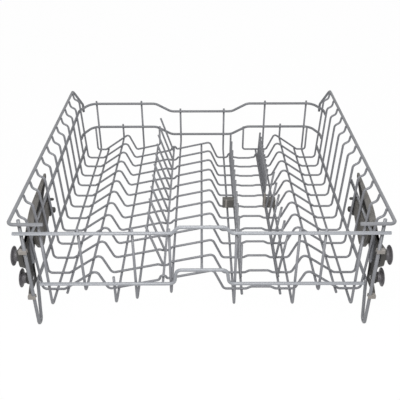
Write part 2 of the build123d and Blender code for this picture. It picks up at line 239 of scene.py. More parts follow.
AXLE_STEEL = Finish(
    name="drawn_axle",
    slot="axle_steel",
    colour=(0.50, 0.50, 0.51),
    shade=0.10,
    roughness=0.30,
    gloss_change=0.06,
    grain=Grain.DRAWN,
    grain_mm=0.5,
    depth_mm=0.01,
    metallic=1.0,
)
# Finishes of a moulding by paint number; a tray is lined with the paint after its own. The wing's trays
# are lined with painted shade and its flange has painted light.
WING_FINISHES = (CARRIER_PLASTIC, PAINTED_SHADE_PLASTIC, PAINTED_LIGHT_FLANGE, PAINTED_SHADE_PLASTIC)
CLAMP_FINISHES = (CLAMP_PLASTIC, PAINTED_SHADE_PLASTIC)
HOLDER_FINISHES = (HOLDER_PLASTIC, CLIP_PLASTIC)


def plain_mesh(piece: bpy.types.Object) -> bpy.types.Object:
    """Turn a piece with live modifiers into one with a plain mesh.

    Args:
        piece: Object whose modifiers are evaluated once and removed.

    Returns:
        The same object.
    """
    graph = bpy.context.evaluated_depsgraph_get()
    mesh = bpy.data.meshes.new_from_object(piece.evaluated_get(graph))
    piece.modifiers.clear()
    piece.data = mesh
    return piece


def new_piece(name: str, mesh: bpy.types.Mesh) -> bpy.types.Object:
    """Link a mesh to the scene as a piece.

    Args:
        name: Name of the piece.
        mesh: Its mesh, in metres and in place.

    Returns:
        The new object.
    """
    piece = bpy.data.objects.new(name, mesh)
    bpy.context.scene.collection.objects.link(piece)
    return piece


def settle(piece: bpy.types.Object, body: str, node: str) -> None:
    """Tie a piece to its body and hide the solid that it stands for.

    Args:
        piece: The piece.
        body: Body that it rides on.
        node: Solid that it stands for.
    """
    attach(piece, body)
    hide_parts(node)
    LOG.info("%s: %d faces on %s", piece.name, len(piece.data.polygons), body)


class NodeSketch:
    """A Geometry Nodes tree under construction."""

    def __init__(self, name: str, inputs: dict[str, str]) -> None:
        """Start a tree.

        Args:
            name: Name of the tree.
            inputs: Socket type for each named input besides the geometry.
        """
        self.tree = bpy.data.node_groups.new(name, "GeometryNodeTree")
        self.tree.is_modifier = True
        sockets = self.tree.interface
        sockets.new_socket("Geometry", in_out="INPUT", socket_type="NodeSocketGeometry")
        self.identifiers = {
            label: sockets.new_socket(label, in_out="INPUT", socket_type=kind).identifier
            for label, kind in inputs.items()
        }
        sockets.new_socket("Geometry", in_out="OUTPUT", socket_type="NodeSocketGeometry")
        self.entry = self.tree.nodes.new("NodeGroupInput").outputs

    def node(self, kind: str, values: dict, **settings: str) -> bpy.types.Node:
        """Add a node.

        Args:
            kind: Type of the node.
            values: For each input, by name or number, a value or the socket that feeds it.
            settings: Properties of the node.

        Returns:
            The new node.
        """
        node = self.tree.nodes.new(kind)
        for label, value in settings.items():
            setattr(node, label, value)
        for label, value in values.items():
            if isinstance(value, bpy.types.NodeSocket):
                self.tree.links.new(value, node.inputs[label])
            else:
                node.inputs[label].default_value = value
        return node

    def math(self, operation: str, first: object, second: object = 0.0) -> bpy.types.NodeSocket:
        """Add a sum.

        Args:
            operation: The sum to do.
            first: First value or socket.
            second: Second value or socket.

        Returns:
            The socket with the result.
        """
        return self.node("ShaderNodeMath", {0: first, 1: second}, operation=operation).outputs[0]

    def close(self, geometry: bpy.types.NodeSocket) -> None:
        """End the tree with realized instances and the finish.

        Args:
            geometry: Socket with the shape.
        """
        real = self.node("GeometryNodeRealizeInstances", {"Geometry": geometry})
        values = {"Geometry": real.outputs[0], "Material": self.entry["Finish"]}
        dressed = self.node("GeometryNodeSetMaterial", values)
        end = self.tree.nodes.new("NodeGroupOutput")
        self.tree.links.new(dressed.outputs[0], end.inputs[0])

    def apply(self, piece: bpy.types.Object, values: dict) -> bpy.types.Object:
        """Run the tree on a piece and keep the result as a plain mesh.

        Args:
            piece: Object that carries the tree's geometry.
            values: A value for each named input.

        Returns:
            The same object.
        """
        modifier = piece.modifiers.new(self.tree.name, "NODES")
        modifier.node_group = self.tree
        for label, value in values.items():
            modifier[self.identifiers[label]] = value
        return plain_mesh(piece)


@dataclass
class WireBender:
    """Bends round wire along routes, with rounded bends and rounded ends."""

    sides: int = 16
    steps: int = 7
    blunt: float = 0.10
    rings: tuple[float, ...] = (0.0, 0.06, 0.22, 0.5, 1.0, 1.4)

    def __post_init__(self) -> None:
        """Build the node tree."""
        kinds = {
            "Wire Radius": "NodeSocketFloat",
            "Bend Radius": "NodeSocketFloat",
            "Finish": "NodeSocketMaterial",
        }
        sketch = NodeSketch("bent_wire", kinds)
        radius = sketch.entry["Wire Radius"]
        curve = sketch.node("GeometryNodeMeshToCurve", {"Mesh": sketch.entry["Geometry"]})
        values = {
            "Curve": curve.outputs[0],
            "Count": self.steps,
            "Radius": sketch.entry["Bend Radius"],
            "Limit Radius": True,
        }
        bent = sketch.node("GeometryNodeFilletCurve", values, mode="POLY")
        swelled = {"Curve": bent.outputs[0], "Radius": self._end_swell(sketch, radius)}
        curve = sketch.node("GeometryNodeSetCurveRadius", swelled)
        values = {"Resolution": self.sides, "Radius": radius}
        ring = sketch.node("GeometryNodeCurvePrimitiveCircle", values)
        values = {"Curve": curve.outputs[0], "Profile Curve": ring.outputs[0], "Fill Caps": True}
        tube = sketch.node("GeometryNodeCurveToMesh", values)
        smooth = sketch.node("GeometryNodeSetShadeSmooth", {"Geometry": tube.outputs[0]})
        sketch.close(smooth.outputs[0])
        self.sketch = sketch

    def _end_swell(self, sketch: NodeSketch, radius: bpy.types.NodeSocket) -> bpy.types.NodeSocket:
        """Thickness along a wire that makes its ends round.

        Args:
            sketch: Tree under construction.
            radius: Radius of the wire.

        Returns:
            Socket with the thickness, 1 away from the ends.
        """
        along = sketch.node("GeometryNodeSplineParameter", {}).outputs["Length"]
        whole = sketch.node("GeometryNodeSplineLength", {}).outputs["Length"]
        nearest = sketch.math("MINIMUM", along, sketch.math("SUBTRACT", whole, along))
        short = sketch.math("DIVIDE", nearest, radius)
        left = sketch.math("SUBTRACT", 1.0, sketch.math("MINIMUM", short, 1.0))
        square = sketch.math("MULTIPLY", left, left)
        bulge = sketch.math("SQRT", sketch.math("SUBTRACT", 1.0, square))
        return sketch.math("MAXIMUM", bulge, self.blunt)

    def _with_rings(self, route: Route, radius: float) -> Route:
        """The route with extra points at its rounded ends and just past them.

        Args:
            route: Corners of the wire, in millimetres.
            radius: Radius of the wire.

        Returns:
            The longer route.
        """
        ahead = (route[1] - route[0]).normalized() * radius
        back = (route[-2] - route[-1]).normalized() * radius
        start = [route[0] + ahead * share for share in self.rings]
        end = [route[-1] + back * share for share in reversed(self.rings)]
        return start + route[1:-1] + end

    def bend(
        self,
        node: str,
        routes: list[Route],
        size: float,
        radius: float,
        finish: Finish,
        body: str = BASKET,
    ) -> None:
        """Make and dress one piece of wire, or several that belong together.

        Args:
            node: Solid that the piece stands for.
            routes: Corners of each wire, in millimetres.
            size: Thickness of the wire.
            radius: Radius of its bends.
            finish: Its coating.
            body: Body that it rides on.
        """
        name = f"bent_{node}"
        points: list[Vector] = []
        edges: list[tuple[int, int]] = []
        for route in routes:
            run = self._with_rings(route, size / 2)
            first = len(points)
            points += [point * MM for point in run]
            edges += [(first + n, first + n + 1) for n in range(len(run) - 1)]
        mesh = bpy.data.meshes.new(name)
        mesh.from_pydata(points, edges, [])
        values = {
            "Wire Radius": size / 2 * MM,
            "Bend Radius": radius * MM,
            "Finish": finish.material(),
        }
        settle(self.sketch.apply(new_piece(name, mesh), values), body, node)


@dataclass(frozen=True)
class Layout:
    """Sizes in millimetres that all sub-assemblies share."""

    rim_x: float = 260.0
    rim_length: float = 472.0
    front_wall: float = 499.7
    foot_bottom: float = 190.5
    middle_station: float = 251.81
    frame_wire: float = 5.0
    cross_wire: float = 3.8
    floor_wire: float = 3.9
    tine_wire: float = 3.8
    weld_gap: float = 0.02
    joggle_foot: float = 16.0
    wall_top: float = 246.5
    wall_batter: float = 5.5
    floor_drop: float = 144.0
    ridge_drop: float = 108.0
    ridge_x: float = 157.04
    flank_run: float = 51.0
    steep_run: float = 16.0
    centre_crest: float = 17.5
    cross_count: int = 12
    first_cross: float = 36.0
    cross_pitch: float = 38.3
    left_share: float = -0.2231
    middle_share: float = 0.233
    right_share: float = 0.4565
    holder_number: int = 6
    seat_depth: float = 4.0

    @property
    def left_row(self) -> float:
        """Place of the left tine row."""
        return self.rim_x * self.left_share

    @property
    def middle_row(self) -> float:
        """Place of the middle tine row."""
        return self.rim_x * self.middle_share

    @property
    def right_row(self) -> float:
        """Place of the two right tine rows."""
        return self.rim_x * self.right_share

    def at(self, x: float, station: float, drop: float) -> Vector:
        """A point from its place across, its distance from the rear and its drop below the rim."""
        return Vector((x, station - self.middle_station, self.foot_bottom - drop))

    def spot(self, place: Place) -> Place:
        """Y and Z of a place on a side, given as station and drop."""
        point = self.at(0.0, *place)
        return point.y, point.z

    def cross_station(self, number: float) -> float:
        """Station of a cross wire, or of a place between two."""
        return self.first_cross + self.cross_pitch * number

    def touching(self, first: float, second: float) -> float:
        """Distance between the middles of two welded wires."""
        return (first + second) / 2 + self.weld_gap

    def wall_x(self, drop: float) -> float:
        """Middle of a side wall's wires at a drop."""
        share = (drop - self.joggle_foot) / (self.floor_drop - self.joggle_foot)
        return self.wall_top - self.wall_batter * share

    def side_x(self, drop: float, size: float) -> float:
        """Middle of a wire along the outside of a side wall."""
        lean = math.atan2(self.wall_batter, self.floor_drop - self.joggle_foot)
        return self.wall_x(drop) + self.touching(self.cross_wire, size) / math.cos(lean)

    def wave(self) -> list[Place]:
        """Corners of the waved floor.

        Returns:
            The corners from left to right, as x and drop.
        """
        foot = self.wall_top - self.wall_batter
        crest = self.centre_crest
        return [
            (-foot, self.floor_drop),
            (-self.ridge_x - self.flank_run, self.floor_drop),
            (-self.ridge_x, self.ridge_drop),
            (-self.ridge_x + self.steep_run, self.floor_drop),
            (crest, self.ridge_drop),
            (crest + self.steep_run, self.floor_drop),
            (self.ridge_x - self.steep_run, self.floor_drop),
            (self.ridge_x, self.ridge_drop),
            (self.ridge_x + self.flank_run, self.floor_drop),
            (foot, self.floor_drop),
        ]

    def floor_at(self, x: float) -> Place:
        """Drop of the floor and its fall towards the right.

        Args:
            x: Place across the basket.

        Returns:
            Drop and fall per millimetre.
        """
        corners = self.wave()
        for (x0, drop0), (x1, drop1) in zip(corners, corners[1:]):
            if x0 <= x <= x1:
                fall = (drop1 - drop0) / (x1 - x0)
                return drop0 + fall * (x - x0), fall
        return self.floor_drop, 0.0


def mirrored(route: Route) -> Route:
    """The same route on the other side, run the other way."""
    return [Vector((-p.x, p.y, p.z)) for p in reversed(route)]


@dataclass(frozen=True)
class RearWire:
    """Sizes of a rear wire, which is raised in the middle."""

    drop: float
    half: float
    rise: float
    top_half: float
    ramp: float


@dataclass
class FrameWires:
    """Rim, front, rear, side and leg wires."""

    layout: Layout
    bender: WireBender
    bend: float = 8.0
    front_bend: float = 24.0
    rim_return: float = 47.5
    rim_tail_top: float = 34.0
    rim_tail_end: float = 50.0
    front_upper_drop: float = 39.0
    front_lower_drop: float = 92.0
    front_dip: float = 17.5
    dip_half: float = 64.0
    dip_ramp: float = 32.0
    corner_x: float = 232.0
    corner_run: float = 36.0
    corner_tail: float = 22.0
    side_rear: Place = (42.0, 54.0)
    finger: Place = (34.0, 92.0)
    right_side_front: float = 198.0
    rear_upper: RearWire = RearWire(drop=15.0, half=256.0, rise=10.0, top_half=32.0, ramp=8.0)
    rear_lower: RearWire = RearWire(drop=103.5, half=232.0, rise=25.0, top_half=36.0, ramp=3.0)
    leg_drop: float = 188.0
    leg_wire_drop: float = 125.0
    leg_front: float = 474.0
    leg_bend: float = 34.0
    leg_stub: float = 4.0
    foot_width: float = 12.0

    def rim(self, side: int) -> Route:
        """Route of a rim wire.

        Args:
            side: -1 for the left, 1 for the right.

        Returns:
            Its corners.
        """
        lay = self.layout
        corner = Vector((self.corner_x, lay.front_wall))
        wall = lay.side_x(self.front_upper_drop, lay.frame_wire)
        end = Vector((wall, lay.front_wall - self.corner_run))
        along = (end - corner).normalized()
        outward = Vector((-along.y, along.x)) * lay.touching(lay.frame_wire, lay.frame_wire)
        tail = (corner + end) * 0.5 + outward
        return [
            lay.at(side * (lay.rim_x - self.rim_return), 0, 0),
            lay.at(side * lay.rim_x, 0, 0),
            lay.at(side * lay.rim_x, lay.rim_length, 0),
            lay.at(side * tail.x, tail.y, self.rim_tail_top),
            lay.at(side * tail.x, tail.y, self.rim_tail_end),
        ]

    def corner(self, drop: float) -> Route:
        """Right end of a front wire.

        Args:
            drop: Drop of the wire.

        Returns:
            The cut corner and the tail along the side wall.
        """
        lay = self.layout
        x = lay.side_x(drop, lay.frame_wire)
        back = lay.front_wall - self.corner_run
        return [
            lay.at(self.corner_x, lay.front_wall, drop),
            lay.at(x, back, drop),
            lay.at(x, back - self.corner_tail, drop),
        ]

    def dips(self, drop: float) -> Route:
        """The dip in the middle of a front wire.

        Args:
            drop: Drop of the wire.

        Returns:
            Its four corners.
        """
        lay = self.layout
        outer = self.dip_half + self.dip_ramp
        corners = [
            (-outer, drop),
            (-self.dip_half, drop + self.front_dip),
            (self.dip_half, drop + self.front_dip),
            (outer, drop),
        ]
        return [lay.at(x, lay.front_wall, low) for x, low in corners]

    def side_run(self, station: float, drop: float) -> Route:
        """A side wire from its front end to its finger.

        Args:
            station: Station of the front end.
            drop: Drop of the front end.

        Returns:
            Its corners.
        """
        lay = self.layout
        places = [(station, drop), self.side_rear, self.finger]
        return [lay.at(lay.side_x(low, lay.frame_wire), back, low) for back, low in places]

    def rear(self, wire: RearWire) -> Route:
        """Route of a rear wire.

        Args:
            wire: Its sizes.

        Returns:
            Its corners.
        """
        right = [
            self.layout.at(wire.top_half, 0, wire.drop - wire.rise),
            self.layout.at(wire.top_half + wire.ramp, 0, wire.drop),
            self.layout.at(wire.half, 0, wire.drop),
        ]
        return mirrored(right) + right

    def leg(self, side: int) -> Route:
        """Route of a leg wire.

        Args:
            side: -1 for the left, 1 for the right.

        Returns:
            Its corners.
        """
        lay = self.layout
        x = side * lay.side_x(self.leg_wire_drop, lay.frame_wire)
        strand = lay.touching(lay.frame_wire, lay.frame_wire)
        return [
            lay.at(x, self.leg_front, self.leg_wire_drop),
            lay.at(x, self.leg_bend, self.leg_wire_drop),
            lay.at(x, strand + self.foot_width, self.leg_drop),
            lay.at(x, strand, self.leg_drop),
            lay.at(x, strand, -self.leg_stub),
        ]

    def routes(self) -> dict[str, Route]:
        """Routes of all these wires.

        Returns:
            Corners of each wire, by the name of its solid.
        """
        lay = self.layout
        back = lay.front_wall - self.corner_run
        upper = self.corner(self.front_upper_drop)
        lower = self.corner(self.front_lower_drop)
        left = upper[:1] + self.side_run(back, self.front_upper_drop)
        station, drop = self.side_rear
        fall = (drop - self.front_upper_drop) / (back - station)
        front = drop - fall * (self.right_side_front - station)
        return {
            "left_rim_wire": self.rim(-1),
            "right_rim_wire": self.rim(1),
            "front_upper_wire": mirrored(left) + self.dips(self.front_upper_drop) + upper,
            "front_lower_wire": mirrored(lower) + self.dips(self.front_lower_drop) + lower,
            "right_side_wire": self.side_run(self.right_side_front, front),
            "rear_upper_wire": self.rear(self.rear_upper),
            "rear_lower_wire": self.rear(self.rear_lower),
            "left_leg_wire": self.leg(-1),
            "right_leg_wire": self.leg(1),
        }

    def build(self) -> None:
        """Bend and dress every wire."""
        size = self.layout.frame_wire
        for node, route in self.routes().items():
            radius = self.front_bend if node.startswith("front") else self.bend
            # Rear wires take the lighter copy of the coating, painted light.
            finish = PAINTED_LIGHT_REAR_WIRES if node.startswith("rear") else FRAME_COATING
            self.bender.bend(node, [route], size, radius, finish)


@dataclass
class CrossWires:
    """Waved cross wires and the short ones under the lower front wire."""

    layout: Layout
    bender: WireBender
    bend: float = 7.0
    short_bend: float = 5.0
    joggle_top: float = 11.0
    weld_sink: float = 1.8
    bow_gap: float = 11.0
    rear_bow_gap: float = 7.2
    bow_ramp: float = 7.0
    bow_rear: float = 3.9
    bow_front: float = -1.5
    rear_bows: int = 6
    seat_half: float = 5.0
    seat_ramp: float = 5.0
    arch_rise: float = 9.0
    left_arch_rise: float = 6.8
    arch_half: float = 3.6
    arch_ramp: float = 2.0
    short_outer: float = 226.0
    short_inner: float = 90.0
    short_top: float = 90.0

    def step(self, x: float, rise: float, half: float, ramp: float) -> list[Place]:
        """A seat under a tine rail, or an arch over one.

        Args:
            x: Place of the rail.
            rise: Height of the step, negative for a seat.
            half: Half of its flat part.
            ramp: Run of each slope.

        Returns:
            Its corners as x and drop.
        """
        lay = self.layout
        drop = lay.floor_at(x)[0] - rise
        outer = half + ramp
        return [
            (x - outer, lay.floor_at(x - outer)[0]),
            (x - half, drop),
            (x + half, drop),
            (x + outer, lay.floor_at(x + outer)[0]),
        ]

    def bow(self, number: int) -> list[Place]:
        """The span right of the middle that bows up or down.

        Args:
            number: Which cross wire.

        Returns:
            Its corners as x and drop.
        """
        lay = self.layout
        drop = lay.floor_drop
        rear = number < self.rear_bows
        rise = self.bow_rear if rear else self.bow_front
        gap = self.rear_bow_gap if rear else self.bow_gap
        start = lay.middle_row + gap
        end = lay.right_row - gap
        return [
            (start, drop),
            (start + self.bow_ramp, drop - rise),
            (end - self.bow_ramp, drop - rise),
            (end, drop),
        ]

    def outline(self, number: int) -> list[Place]:
        """Corners of a cross wire from rim to rim.

        Args:
            number: Which cross wire, from the rear.

        Returns:
            Its corners as x and drop.
        """
        lay = self.layout
        last = number == lay.cross_count - 1
        steps = self.bow(number)
        arch = (self.arch_half, self.arch_ramp)
        if last:
            for row in (lay.middle_row, lay.right_row):
                steps += self.step(row, self.arch_rise, *arch)
        if number == 0 or last:
            steps += self.step(lay.left_row, self.left_arch_rise, *arch)
        else:
            steps += self.step(lay.left_row, -lay.seat_depth, self.seat_half, self.seat_ramp)
        top = lay.rim_x - lay.touching(lay.frame_wire, lay.cross_wire)
        end = [(top + self.weld_sink, 0.0), (top, self.joggle_top), (lay.wall_top, lay.joggle_foot)]
        left = [(-x, drop) for x, drop in end]
        return left + sorted(lay.wave() + steps) + end[::-1]

    def short_outline(self, side: int) -> list[Place]:
        """Corners of a short cross wire.

        Args:
            side: -1 for the left, 1 for the right.

        Returns:
            Its corners as x and drop.
        """
        lay = self.layout
        low, high = sorted((side * self.short_inner, side * self.short_outer))
        wave = [place for place in lay.wave() if low < place[0] < high]
        start = [(low, self.short_top), (low, lay.floor_at(low)[0])]
        end = [(high, lay.floor_at(high)[0]), (high, self.short_top)]
        return start + wave + end

    def build(self) -> None:
        """Bend and dress every cross wire."""
        lay = self.layout
        routes = {}
        for number in range(lay.cross_count):
            station = lay.cross_station(number)
            routes[f"cross_wire_{number + 1:02d}"] = [
                lay.at(x, station, drop) for x, drop in self.outline(number)
            ]
        station = lay.front_wall - lay.touching(lay.frame_wire, lay.cross_wire)
        for name, side in SIDES.items():
            routes[f"short_cross_wire_{name}"] = [
                lay.at(x, station, drop) for x, drop in self.short_outline(side)
            ]
        for node, route in routes.items():
            radius = self.short_bend if node.startswith("short") else self.bend
            self.bender.bend(node, [route], lay.cross_wire, radius, GRID_COATING)


class WireEnd(Enum):
    """How an end of a floor wire stops."""

    UPPER = "stands up to the upper wire of its wall"
    LOWER = "stands up to the lower wire of its wall"
    STUB = "stops just past the outer cross wire"
    RIDGE = "slants up from the middle ridge"
    SHORT = "stops at the last long cross wire"


@dataclass
class FloorWires:
    """Wires under the floor, with ends that stand up at the walls."""

    layout: Layout
    bender: WireBender
    frame_wires: FrameWires
    bend: float = 7.0
    strand_stub: float = 4.0
    ridge_strand_top: float = 81.0
    ridge_bend: float = 62.0
    # Each wire's share of the way to the rim, its rear end and its front end.
    table: tuple[tuple[float, WireEnd, WireEnd], ...] = (
        (-0.848, WireEnd.UPPER, WireEnd.UPPER),
        (-0.781, WireEnd.STUB, WireEnd.STUB),
        (-0.648, WireEnd.UPPER, WireEnd.LOWER),
        (-0.485, WireEnd.LOWER, WireEnd.UPPER),
        (-0.365, WireEnd.UPPER, WireEnd.STUB),
        (-0.171, WireEnd.UPPER, WireEnd.UPPER),
        (0.0, WireEnd.RIDGE, WireEnd.SHORT),
        (0.183, WireEnd.UPPER, WireEnd.UPPER),
        (Layout.middle_share, WireEnd.STUB, WireEnd.SHORT),
        (Layout.right_share, WireEnd.STUB, WireEnd.STUB),
        (0.515, WireEnd.UPPER, WireEnd.UPPER),
        (0.652, WireEnd.UPPER, WireEnd.LOWER),
        (0.781, WireEnd.STUB, WireEnd.STUB),
        (0.848, WireEnd.UPPER, WireEnd.UPPER),
    )

    def drop_at(self, x: float) -> float:
        """Drop of a floor wire that touches the cross wires from below.

        Args:
            x: Its place across.

        Returns:
            The drop of its middle.
        """
        lay = self.layout
        drop, fall = lay.floor_at(x)
        return drop + lay.touching(lay.cross_wire, lay.floor_wire) / math.cos(math.atan2(fall, 1.0))

    def rear_end(self, x: float, kind: WireEnd) -> Route:
        """Rear end of a floor wire.

        Args:
            x: Its place across.
            kind: How it stops.

        Returns:
            Corners from the end to the floor.
        """
        lay = self.layout
        drop = self.drop_at(x)
        strand = lay.touching(lay.frame_wire, lay.floor_wire)
        past = lay.first_cross - lay.cross_wire - self.strand_stub
        upper, lower = self.frame_wires.rear_upper, self.frame_wires.rear_lower
        if kind is WireEnd.STUB:
            return [lay.at(x, past, drop)]
        if kind is WireEnd.RIDGE:
            top = lower.drop - lower.rise - self.strand_stub
            tops = [lay.at(x, strand, top), lay.at(x, strand, self.ridge_strand_top)]
            return tops + [lay.at(x, self.ridge_bend, drop)]
        top = upper.drop if kind is WireEnd.UPPER else lower.drop - lay.frame_wire
        return [lay.at(x, strand, top - self.strand_stub), lay.at(x, strand, drop)]

    def front_end(self, x: float, kind: WireEnd) -> Route:
        """Front end of a floor wire.

        Args:
            x: Its place across.
            kind: How it stops.

        Returns:
            Corners from the floor to the end.
        """
        lay = self.layout
        wires = self.frame_wires
        drop = self.drop_at(x)
        if kind is WireEnd.STUB:
            return [lay.at(x, lay.front_wall, drop)]
        if kind is WireEnd.SHORT:
            last = lay.cross_station(lay.cross_count - 1)
            return [lay.at(x, last + lay.cross_wire + self.strand_stub, drop)]
        top = wires.front_upper_drop if kind is WireEnd.UPPER else wires.front_lower_drop
        share = (wires.dip_half + wires.dip_ramp - abs(x)) / wires.dip_ramp
        top += wires.front_dip * min(max(share, 0.0), 1.0) - self.strand_stub
        strand = lay.front_wall + lay.touching(lay.frame_wire, lay.floor_wire)
        return [lay.at(x, strand, drop), lay.at(x, strand, top)]

    def build(self) -> None:
        """Bend and dress every floor wire."""
        size = self.layout.floor_wire
        for number, (share, rear, front) in enumerate(self.table, 1):
            x = share * self.layout.rim_x
            route = self.rear_end(x, rear) + self.front_end(x, front)
            self.bender.bend(f"floor_wire_{number:02d}", [route], size, self.bend, GRID_COATING)


@dataclass(frozen=True)
class TineRow:
    """One rail with its tines."""

    node: str
    body: str
    x: float
    span: Place
    length: float
    lean: float
    tines: list[float]
    seat: float = 0.0


@dataclass
class TineRows:
    """Rails with tines, which fold about their rails."""

    layout: Layout
    bender: WireBender
    offset: float = 9.0
    pivot_gap: float = 0.1
    rail_tail: float = 6.0
    rail_end_gap: float = 0.6

    def rows(self) -> list[TineRow]:
        """The four rows.

        Returns:
            Each row with its rail's span and the length and lean of its tines.
        """
        lay = self.layout
        last = lay.cross_count - 1
        split = lay.cross_station(lay.holder_number)
        rear = lay.cross_station(0) - self.rail_tail
        near = lay.cross_station(1) - self.offset - self.rail_tail
        front = lay.cross_station(last) + self.rail_tail
        gap = self.rail_end_gap / 2
        whole = list(range(1, last + 1))
        behind = whole[: lay.holder_number]
        ahead = whole[lay.holder_number :]
        dense = sorted(ahead + [number + 0.5 for number in ahead[:-1]])
        return [
            TineRow(
                node="tine_row_left",
                body="left_tines",
                x=lay.left_row,
                seat=lay.seat_depth,
                span=(rear, front),
                length=80.0,
                lean=-18.0,
                tines=whole,
            ),
            TineRow(
                node="tine_row_middle",
                body="middle_tines",
                x=lay.middle_row,
                span=(near, front),
                length=57.0,
                lean=0.0,
                tines=whole,
            ),
            TineRow(
                node="tine_row_right_front",
                body="right_front_tines",
                x=lay.right_row,
                span=(split + gap, front),
                length=58.0,
                lean=2.4,
                tines=dense,
            ),
            TineRow(
                node="tine_row_right_rear",
                body="right_rear_tines",
                x=lay.right_row,
                span=(near, split - gap),
                length=75.0,
                lean=7.5,
                tines=behind,
            ),
        ]

    def routes(self, row: TineRow) -> list[Route]:
        """Routes of a row's rail and tines.

        Args:
            row: The row.

        Returns:
            One route for the rail and one for each tine.
        """
        lay = self.layout
        lift = lay.touching(lay.cross_wire, lay.tine_wire) + self.pivot_gap
        drop = lay.floor_at(row.x)[0] + row.seat - lift
        lean = math.radians(row.lean)
        tip = Vector((math.sin(lean), 0.0, math.cos(lean))) * row.length
        routes = [[lay.at(row.x, row.span[0], drop), lay.at(row.x, row.span[1], drop)]]
        for number in row.tines:
            base = lay.at(row.x, lay.cross_station(number) - self.offset, drop)
            routes.append([base, base + tip])
        return routes

    def build(self) -> None:
        """Bend and dress every row."""
        size = self.layout.tine_wire
        for row in self.rows():
            # Left row: the lighter copy, painted light; other rows: the darker copy, painted shade.
            finish = PAINTED_LIGHT_TINES if row.x < 0 else PAINTED_SHADE_TINES
            self.bender.bend(row.node, self.routes(row), size, size, finish, row.body)


def rounded(corners: dict[Place, float], steps: int = 6) -> list[Place]:
    """An outline with rounded corners.

    Args:
        corners: Each corner with the length that its rounding takes from its sides.
        steps: Points along a rounding, less one.

    Returns:
        The outline as places.
    """
    places = [Vector(place) for place in corners]
    outline: list[Place] = []
    for n, (here, reach) in enumerate(zip(places, corners.values())):
        if not reach:
            outline.append(tuple(here))
            continue
        start = here + (places[n - 1] - here).normalized() * reach
        end = here + (places[(n + 1) % len(places)] - here).normalized() * reach
        for step in range(steps + 1):
            share = step / steps
            outline.append(tuple(start.lerp(here, share).lerp(here.lerp(end, share), share)))
    return outline


def inset(outline: list[Place], distance: float) -> list[Place]:
    """An outline moved inwards.

    Args:
        outline: Corners of the outline.
        distance: How far it moves.

    Returns:
        The smaller outline, with as many corners.
    """
    points = [Vector(place) for place in outline]
    following = points[1:] + points[:1]
    area = sum(a.x * b.y - b.x * a.y for a, b in zip(points, following))
    turn = math.copysign(1.0, area)
    smaller: list[Place] = []
    for n, (here, after) in enumerate(zip(points, following)):
        run = (here - points[n - 1]).normalized() + (after - here).normalized()
        inward = Vector((-run.y, run.x)) * turn
        smaller.append(tuple(here + inward * (2 * distance / inward.length_squared)))
    return smaller


def rod(start: float, end: float, radius: float, near: float, far: float) -> list[Place]:
    """Profile of a round bar with a chamfer at each end.

    Args:
        start: X of its first end.
        end: X of its other end.
        radius: Its radius.
        near: Chamfer of the first end.
        far: Chamfer of the other end.

    Returns:
        X and radius of each ring, closed on the axis.
    """
    first = [(start, 0.0), (start, radius - near), (start + near, radius)]
    return first + [(end - far, radius), (end, radius - far), (end, 0.0)]


